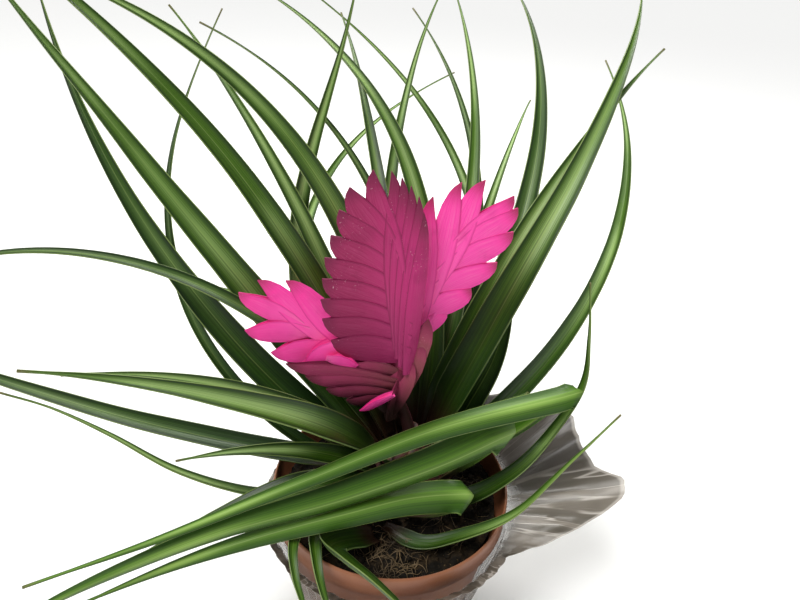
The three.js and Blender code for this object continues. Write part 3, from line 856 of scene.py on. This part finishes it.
def bractPaint(name, look):
    material, place, shader = startPaint(name, look["middle"], 0.5, 0.3)
    surface = surfaceMap(place)
    across, along, _ = splitUp(surface)
    towardsMargin = abs(across - 0.5) * 2
    rightwards, _, height = splitUp(place)
    veins = cloudy(stretched(surface, (60, 2.2, 1)), 1, 2, 0.6)
    patches = cloudy(place, 90, 3)
    flecks = cloudy(place, 1100, 2).fade(0.66, 0.74) * patches.fade(0.45, 0.6) * along.fade(0.55, 0.8)
    stops = [(0.0, look["root"]), (0.35, look["middle"]), (0.8, look["upper"]), (0.97, look["tip"])]
    colour = along.add("ShaderNodeValToRGB", {"stops": stops}, {"Fac": along})
    body = 1 - along.fade(0.7, 0.95)
    # painted shade: darker low down, less so on the right
    low = (1 - height.fade(*look["upward"])) * (1 - rightwards.fade(-0.01, 0.01) * look["lowShadeLeft"])
    layWashes(shader, look, colour, [
        # right: on the main spike painted light on its right side, on the stalk its olive tone
        (rightwards.fade(*look["rightward"]) * body * 0.75, "right"),
        (veins.fade(0.45, 0.75) * 0.35, "root"),
        ((1 - veins.fade(0.25, 0.45)) * 0.3, "margin"),
        (patches.fade(0.5, 0.75) * 0.25, "tip"),
        # painted shade low down
        (low * look["lowShadeShare"], "low"),
        (towardsMargin.fade(0.9, 1.0) * 0.6, "margin"),
        (flecks * look["flecks"], "fleck"),
    ])
    (0.42 + patches * 0.25).into(shader, "Roughness")
    roughen(shader, veins, 0.4, 0.0005)
    return material


def bloom():
    blank = foldedBract()
    paints = {
        "spike_main": (bractPaint("shadedPinkBract", shadedPinkLook), "bract_main"),
        "spike_right": (bractPaint("brightBract", brightLook), "bract_right"),
        "spike_left": (None, "bract_left"),
    }
    for name, row in spikes.items():
        spike = joinPieces(layBracts(blank, row), name + "_bracts")
        thicken(spike, bract["thickness"])
        (baseX, baseZ), (topX, topZ) = row["base"], row["top"]
        halfway = ((baseX + topX) / 2, row["y"], (baseZ + topZ) / 2)
        rod = layRod("rachis", [(baseX, row["y"], baseZ), halfway], *bract["rachisRadii"])
        spike = joinPieces([spike, rod], name + "_bracts")
        paint, slot = paints[name]
        spike.data.materials.clear()
        spike.data.materials.append(paint or paints["spike_right"][0])
        finishPiece(spike, slot, name, angle=60)
    flower = layStalk(blank, bractPaint("stalkBract", stalkLook), paints["spike_right"][0])
    finishPiece(flower, "flower_stalk", "flower_stalk", angle=60)
    bpy.data.objects.remove(blank)
    print("flower head made")


# pot

pot = {
    "sides": 96,
    # radius and height in mm, up the outside, over the rim and down to the floor inside
    "profile": [
        (42.0, 0), (42.5, 0.6), (49.5, 46.5), (56.4, 92.2), (58.6, 92.3), (59.4, 92.6), (60, 93.4),
        (60, 103.6), (59.8, 104.4), (59.3, 104.9), (58.9, 104.9), (58.6, 104.5), (58.5, 103.8),
        (57.2, 95), (55, 92), (41.3, 2.4), (40.8, 2),
    ],
    "holes": 6,
    "holeRadius": 4,
    "holeCircle": 30,
    "drillLength": 20,
    "drillSides": 24,
    "plastic": (0.175, 0.055, 0.022),
    # a paler tone: real fading in swirls and scratches, and a painted highlight along the rim
    "fadedAndRimHighlight": (0.300, 0.115, 0.050),
    "dusty": (0.060, 0.030, 0.018),
}


def turnPot():
    clearSelection()
    radius, height = pot["profile"][0]
    bpy.ops.mesh.primitive_circle_add(
        vertices=pot["sides"], radius=radius * mm, fill_type="NGON", location=(0, 0, height * mm))
    shell = bpy.context.object
    bpy.ops.object.transform_apply(location=True)

    def steps():
        lastRadius, lastHeight = pot["profile"][0]
        for nextRadius, nextHeight in pot["profile"][1:]:
            bpy.ops.mesh.extrude_region_move(
                TRANSFORM_OT_translate={"value": (0, 0, (nextHeight - lastHeight) * mm)})
            growth = nextRadius / lastRadius
            bpy.ops.transform.resize(
                value=(growth, growth, 1), center_override=(0, 0, nextHeight * mm))
            lastRadius, lastHeight = nextRadius, nextHeight
    inEditMode(shell, steps)
    drills = []
    for i in range(pot["holes"]):
        angle = 2 * math.pi * i / pot["holes"]
        place = levelAt(angle) * pot["holeCircle"] * mm
        clearSelection()
        bpy.ops.mesh.primitive_cylinder_add(
            vertices=pot["drillSides"], radius=pot["holeRadius"] * mm, depth=pot["drillLength"] * mm,
            location=place)
        drills.append(bpy.context.object)
    drill = joinPieces(drills, "drill")
    bpy.ops.object.transform_apply(location=True, rotation=True, scale=True)
    useModifier(shell, "BOOLEAN", {"operation": "DIFFERENCE", "object": drill})
    bpy.data.objects.remove(drill)
    shell.name = shell.data.name = "nurseryPot"
    shell.data.materials.append(potPaint())
    finishPiece(shell, "pot", "pot", angle=40)
    print("pot turned")


def potPaint():
    material, place, shader = startPaint("terracottaPlastic", pot["plastic"], 0.5)
    height = splitUp(place)[2]
    swirl = cloudy(place, 30, 3)
    grain = cloudy(place, 900, 2)
    scratches = cloudy(stretched(place, (40, 40, 400)), 1, 3)
    layWashes(shader, pot, pot["plastic"], [
        (swirl.fade(0.3, 0.75), "fadedAndRimHighlight"),
        # a painted highlight along the top of the rim
        (height.fade(0.098, 0.105) * 0.5, "fadedAndRimHighlight"),
        (scratches.fade(0.55, 0.75) * 0.2, "fadedAndRimHighlight"),
        (swirl.fade(0.55, 0.7) * 0.35, "dusty"),
    ])
    (0.38 + grain * 0.15 + swirl * 0.1).into(shader, "Roughness")
    roughen(shader, grain, 0.15, 0.0002)
    return material


# soil

soil = {
    "cells": 150,
    "radius": 54.6,  # mm
    "bottomRadius": 40.4,
    "bottom": 2.4,
    "edgeHeight": 95,
    "moundHeight": 3.5,
    "clodHeight": 1.6,
    "clodSize": 5,
    # height and size of the lumps, from coarse to fine
    "lumps": [(2.2, 7), (1.3, 3), (0.7, 1.3)],
    "crumbs": 420,
    "crumbSizes": (0.5, 2.2),
    "crumbPower": 1.3,  # above 1, so that more of them are small than large
    "crumbLeast": 0.4,
    "crumbLumps": 0.35,
    "crumbWidths": (0.5, 1),  # shares of their size
    "crumbHeights": (0.4, 0.8),
    "crumbLift": 0.2,
    "strewn": 0.95,  # how far out they lie, as a share of the radius
    # root fibres: how many, round which middle, how far from it, how long and how high they rise
    "fibres": [
        (190, (0, 0), 49.14, (6, 20), (0.2, 2.2)),
        (90, (3, -44), 11, (4, 11), (0.2, 3.4)),  # a tangle of pale roots
    ],
    "fibreRadii": (0.1, 0.24),
    "fibreTaper": (1.15, 0.45),
    "fibreBend": 2.4,  # how far they turn at most, in radians
    "fibreStretches": 4,
    "fibreFoot": 0.5,  # height of their ends above the bed
    "leafClearance": 99.5,  # crumbs stay below about this height
    "seed": 7,
    "dark": (0.0045, 0.0032, 0.0015),
    "brown": (0.028, 0.017, 0.007),
    "fibre": (0.210, 0.140, 0.065),
}


def soilHeight(x, y):
    share = min(1, math.hypot(x, y) / soil["radius"])
    size = soil["clodSize"]
    wave = math.sin(x / size + 1) * math.cos(0.8 * y / size) + math.sin((x - y) / size)
    height = soil["edgeHeight"] + soil["moundHeight"] * (1 - share * share)
    height += soil["clodHeight"] / 2 * wave
    spot = Vector((x, y, 0))
    for lump, wide in soil["lumps"]:
        height += lump * noise.noise(spot / wide)
    return height


def layBed():
    def shape(u, v):
        # a square grid drawn out into a disc
        x, y = 2 * u - 1, 2 * v - 1
        x, y = x * math.sqrt(1 - y * y / 2), y * math.sqrt(1 - x * x / 2)
        x, y = x * soil["radius"], y * soil["radius"]
        return Vector((x, y, soilHeight(x, y))) * mm
    bed = shapedGrid("soilBed", soil["cells"], soil["cells"], shape)
    shrink = soil["bottomRadius"] / soil["radius"]

    def steps():
        selectOpenEdges()
        bpy.ops.mesh.extrude_edges_move(TRANSFORM_OT_translate={"value": (0, 0, 0)})
        bpy.ops.transform.resize(
            value=(shrink, shrink, 0), center_override=(0, 0, soil["bottom"] * mm))
        bpy.ops.mesh.edge_face_add()
    inEditMode(bed, steps)
    return bed


def strewCrumbs(draw):
    clearSelection()
    bpy.ops.mesh.primitive_ico_sphere_add(subdivisions=2, radius=1)
    crumb = bpy.context.object
    for vertex in crumb.data.vertices:
        vertex.co *= 1 + soil["crumbLumps"] * noise.noise(vertex.co * 1.7)
    crumbs = []
    for i in range(soil["crumbs"]):
        away = soil["radius"] * soil["strewn"] * math.sqrt(draw.random())
        angle = draw.uniform(0, 2 * math.pi)
        size = draw.uniform(*soil["crumbSizes"]) ** soil["crumbPower"]
        x, y = away * math.cos(angle), away * math.sin(angle)
        size = min(size, max(soil["crumbLeast"], soil["leafClearance"] - soilHeight(x, y)))
        turn = Matrix.Rotation(draw.uniform(0, 6), 4, Vector((draw.random(), draw.random(), 1)))
        wide = size * draw.uniform(*soil["crumbWidths"])
        high = size * draw.uniform(*soil["crumbHeights"])
        flat = Matrix.Diagonal((size, wide, high))
        middle = Vector((x, y, soilHeight(x, y) + size * soil["crumbLift"]))
        place = Matrix.Translation(middle * mm)
        crumbs.append(copyMoved(crumb, place @ turn @ flat.to_4x4() @ Matrix.Scale(mm, 4)))
    bpy.data.objects.remove(crumb)
    return crumbs


def fillSoil():
    draw = random.Random(soil["seed"])
    whole = joinPieces([layBed(), *strewCrumbs(draw)], "peat")
    whole.data.materials.append(soilPaint())
    fibres = []
    for row in soil["fibres"]:
        fibres += scatterFibres(draw, *row)
    fibres = joinPieces(fibres, "rootFibres")
    fibreMaterial, place, shader = startPaint("rootFibre", soil["fibre"], 0.7)
    tone = cloudy(place, 60, 2)
    layWashes(shader, soil, soil["brown"], [(tone.fade(0.3, 0.7), "fibre")])
    fibres.data.materials.append(fibreMaterial)
    finishPiece(whole, "soil", "soil", angle=50)
    finishPiece(fibres, "soil", "soil")
    print("soil filled")


# Root fibres strewn round a middle, all in mm.
def scatterFibres(draw, count, middle, spread, lengths, lifts):
    fibres = []
    stretches = soil["fibreStretches"]
    thick, thin = soil["fibreTaper"]
    for i in range(count):
        away = spread * math.sqrt(draw.random())
        angle = draw.uniform(0, 2 * math.pi)
        heading = draw.uniform(0, 2 * math.pi)
        length = draw.uniform(*lengths)
        bend = draw.uniform(-soil["fibreBend"], soil["fibreBend"])
        lift = draw.uniform(*lifts)
        x, y = middle[0] + away * math.cos(angle), middle[1] + away * math.sin(angle)
        points = []
        for k in range(stretches + 1):
            share = k / stretches
            if math.hypot(x, y) > soil["radius"] - 1:
                break
            rise = soil["fibreFoot"] + lift * math.sin(share * math.pi)
            points.append((x, y, soilHeight(x, y) + rise))
            x += length / stretches * math.cos(heading + bend * share)
            y += length / stretches * math.sin(heading + bend * share)
        if len(points) > 2:
            radius = draw.uniform(*soil["fibreRadii"])
            fibres.append(layRod("fibre", points, radius * thick, radius * thin, 4, 8, 8, up))
    return fibres


def soilPaint():
    material, place, shader = startPaint("darkPeat", soil["dark"], 0.95, 0.2)
    lumps = cloudy(place, 160, 5, 0.65)
    grit = cloudy(place, 900, 3)
    layWashes(shader, soil, soil["dark"], [
        (lumps.fade(0.42, 0.72), "brown"),
        (grit.fade(0.62, 0.75) * 0.5, "fibre"),
    ])
    (0.75 + grit * 0.25).into(shader, "Roughness")
    roughen(shader, lumps + grit * 0.4, 0.8, 0.0012)
    return material


# stem

stem = {
    "skirt": 4,  # mm that it reaches below the outermost leaves' feet
    "skirtInset": 6,
    "inset": 2.2,  # mm that its cone stays inside the leaves' feet
    "topRadius": 5,
    "overlap": 1,  # mm that its parts reach into each other
    "foot": 60,  # height at which it ends in the soil
    "footRadius": 9,
    "sides": 48,
    "scales": 34,
    "scaleLength": 19,
    "scaleWidth": 17,
    "scaleDepth": 5,
    "scaleThickness": 0.4,
    "scaleSink": 0.5,  # mm that their roots lie inside the cone
    "shortening": 0.35,  # how much shorter and narrower the uppermost old leaf bases are
    "narrowing": 0.4,
    "uprightness": 0.9,
    "lean": 0.75,  # how far they lean in at the foot, and how much less at the top
    "leanLoss": 0.35,
    "turn": 137.5,  # degrees from one old leaf base to the next
    "dark": (0.016, 0.007, 0.004),
    "red": (0.085, 0.020, 0.012),
    "straw": (0.170, 0.110, 0.050),
}


def raiseStem(blank):
    lowest = crown["slopeHeight"] - crown["outerRadius"] - stem["skirt"]
    widest = crown["slopeHeight"] - lowest - stem["inset"] - stem["skirtInset"]
    top = crown["slopeHeight"] - stem["inset"] - stem["topRadius"]
    neck = lowest + stem["overlap"]
    clearSelection()
    bpy.ops.mesh.primitive_cone_add(
        vertices=stem["sides"], radius1=widest * mm, radius2=stem["topRadius"] * mm,
        depth=(top - lowest) * mm, location=Vector((crown["x"], crown["y"], (top + lowest) / 2)) * mm)
    cone = bpy.context.object
    clearSelection()
    bpy.ops.mesh.primitive_cylinder_add(
        vertices=stem["sides"], radius=stem["footRadius"] * mm, depth=(neck - stem["foot"]) * mm,
        location=Vector((crown["x"], crown["y"], (neck + stem["foot"]) / 2)) * mm)
    foot = bpy.context.object
    core = joinPieces([cone, foot], "stemCore")
    pick(core)
    bpy.ops.object.transform_apply(location=True)
    scales = []
    for i in range(stem["scales"]):
        share = i / (stem["scales"] - 1)
        out = levelAt(math.radians(stem["turn"] * i))
        radius = widest - (widest - stem["topRadius"]) * share
        height = lowest - stem["overlap"] + (top - lowest) * share
        root = Vector((crown["x"], crown["y"], height)) + out * (radius - stem["scaleSink"])
        lean = stem["lean"] - stem["leanLoss"] * share
        slope = (up * stem["uprightness"] - out * lean).normalized()
        tip = root + slope * stem["scaleLength"] * (1 - stem["shortening"] * share)
        facing = (out - out.dot(slope) * slope).normalized()
        width = stem["scaleWidth"] * (1 - stem["narrowing"] * share)
        scales.append(
            placeBract(blank, root, tip, facing.cross(slope), facing, width, stem["scaleDepth"]))
    scales = joinPieces(scales, "stemScales")
    thicken(scales, stem["scaleThickness"])
    whole = joinPieces([core, scales], "sheathedStem")
    whole.data.materials.clear()
    whole.data.materials.append(stemPaint())
    finishPiece(whole, "stem", "stem", angle=50)
    print("stem raised")


def stemPaint():
    material, place, shader = startPaint("sheathBrown", stem["dark"], 0.6)
    lines = cloudy(stretched(place, (420, 420, 30)), 1, 3)
    patches = cloudy(place, 70, 2)
    layWashes(shader, stem, stem["dark"], [
        (lines.fade(0.35, 0.7), "red"),
        (patches.fade(0.5, 0.75) * 0.5, "straw"),
    ])
    (0.45 + lines * 0.25).into(shader, "Roughness")
    roughen(shader, lines, 0.5, 0.0006)
    return material


# film sleeve

film = {
    "steps": 300,
    "rows": 44,
    "foot": 6, "footRadius": 45.5, "neckHeight": 88, "neckRadius": 60.6,
    # how far the lip reaches out and how high it rises, in mm, at each angle in degrees
    "reach": [
        (-180, 4), (-75, 4), (-62, 8), (-50, 5), (-27, 5), (-18, 15), (-10, 29), (-3, 44), (3, 63),
        (8, 65), (12, 52), (16, 44), (24, 47), (36, 42), (52, 26), (68, 7), (90, 4), (180, 4)],
    "rise": [
        (-180, 0), (-75, 2), (-62, 10), (-50, 2), (-27, 0), (-10, 0), (-3, 3), (3, 8), (8, 11),
        (12, 13), (16, 21), (24, 29), (36, 27), (52, 20), (68, 5), (90, 0), (180, 0)],
    "folds": 23, "foldDepth": 0.5, "ripple": 0.5,
    "foldGrowth": 24,  # mm of reach that deepen the folds by one depth
    "crumple": 1.4,  # mm
    "crumpleGrowth": 50,  # the same for how far it lifts the lip
    "creasesRound": 6, "creasesUp": 1.6,
    "creases": [(1, 1.6), (0.5, 4)],  # depth and number, of the coarse and of the fine ones
    "thickness": 0.12,
    "flat": (0.42, 0.14),  # metres, cut open and laid flat
    "flatArea": 0.037,
    "clear": (0.205, 0.178, 0.145),
    "shade": (0.088, 0.076, 0.058),
    # painted shade for one lobe of the lip
    "lobeShade": (0.048, 0.040, 0.034),
    # pale, for the painted reflections along creases and the painted highlight on the lip's edge
    "crease": (0.560, 0.520, 0.470),
    "bodyCover": 0.24,  # how much it hides, round the pot and on the lip
    "lipCover": 0.72,
}


def filmPlace(angle, share):
    degrees = (math.degrees(angle) + 180) % 360 - 180
    reach = profileAt(film["reach"], degrees)
    rise = profileAt(film["rise"], degrees)
    # the lower half of the sheet lies round the pot, and the upper half is its lip
    body = min(1, share * 2)
    lip = max(0, share * 2 - 1)
    pleat = math.sin(film["folds"] * angle + 2 * math.sin(3 * angle))
    pleat *= film["foldDepth"] * (0.3 + reach / film["foldGrowth"])
    ripple = film["ripple"] * abs(math.cos(film["folds"] * angle)) * body
    neck = film["footRadius"] + (film["neckRadius"] - film["footRadius"]) * body
    # creases run out from the neck, so the noise changes faster round it than along
    spot = film["creasesRound"] * levelAt(angle)
    spot += film["creasesUp"] * share * up
    crumple = sum(deep * abs(noise.noise(spot * many)) for deep, many in film["creases"])
    crumple *= film["crumple"] * body
    away = neck + reach * lip + ripple + crumple
    lift = rise + pleat + crumple * (1 + reach / film["crumpleGrowth"])
    height = film["foot"] + (film["neckHeight"] - film["foot"]) * body + lift * lip
    return Vector((away * math.cos(angle), away * math.sin(angle), height)) * mm


def wrapFilm():
    def shape(u, v):
        return filmPlace(2 * math.pi * u, v)
    sleeve = shapedGrid("filmSleeve", film["steps"], film["rows"], shape)

    def steps():
        bpy.ops.mesh.remove_doubles(threshold=0.00001)
    inEditMode(sleeve, steps)
    thicken(sleeve, film["thickness"], 1)
    sleeve.data.materials.append(filmPaint())
    finishPiece(sleeve, "film", "film_sleeve", angle=35)
    print("film wrapped")


def filmPaint():
    material, place, shader = startPaint("clearFilm", film["clear"], 0.3, 0.35)
    surface = surfaceMap(place)
    around, along, _ = splitUp(surface)
    pulls = cloudy(stretched(surface, (75, 0.9, 1)), 1, 2, 0.45)
    clouds = cloudy(place, 34, 3)
    creases = 1 - abs(pulls - 0.5).fade(0.0, 0.028)
    lip = along.fade(0.48, 0.62)
    # painted shade on one lobe of the lip
    lobeShade = around.fade(0.03, 0.045) * (1 - around.fade(0.13, 0.19)) * lip
    layWashes(shader, film, film["shade"], [
        (pulls.fade(0.35, 0.68), "clear"),
        (clouds.fade(0.5, 0.7) * 0.5, "shade"),
        # pale crease lines: painted reflections along the creases
        (creases * clouds.fade(0.4, 0.6) * 0.6, "crease"),
        (lobeShade * 0.8, "lobeShade"),
        # a painted highlight along the lip's edge
        (along.fade(0.975, 0.99) * 0.5, "crease"),
    ])
    (0.24 + clouds * 0.2).into(shader, "Roughness")
    edge = place.add("ShaderNodeLayerWeight", {}, {"Blend": 0.35}, "Facing")
    alpha = film["bodyCover"] + lip * (film["lipCover"] - film["bodyCover"] + clouds * 0.3)
    (alpha + creases * 0.2 + edge * 0.2).into(shader, "Alpha")
    roughen(shader, pulls, 0.35, 0.0007)
    return material


# the object

standCamera()
layStudio()
growLeaves()
bloom()
turnPot()
fillSoil()
boatBlank = openBract()
raiseStem(boatBlank)
bpy.data.objects.remove(boatBlank)
wrapFilm()
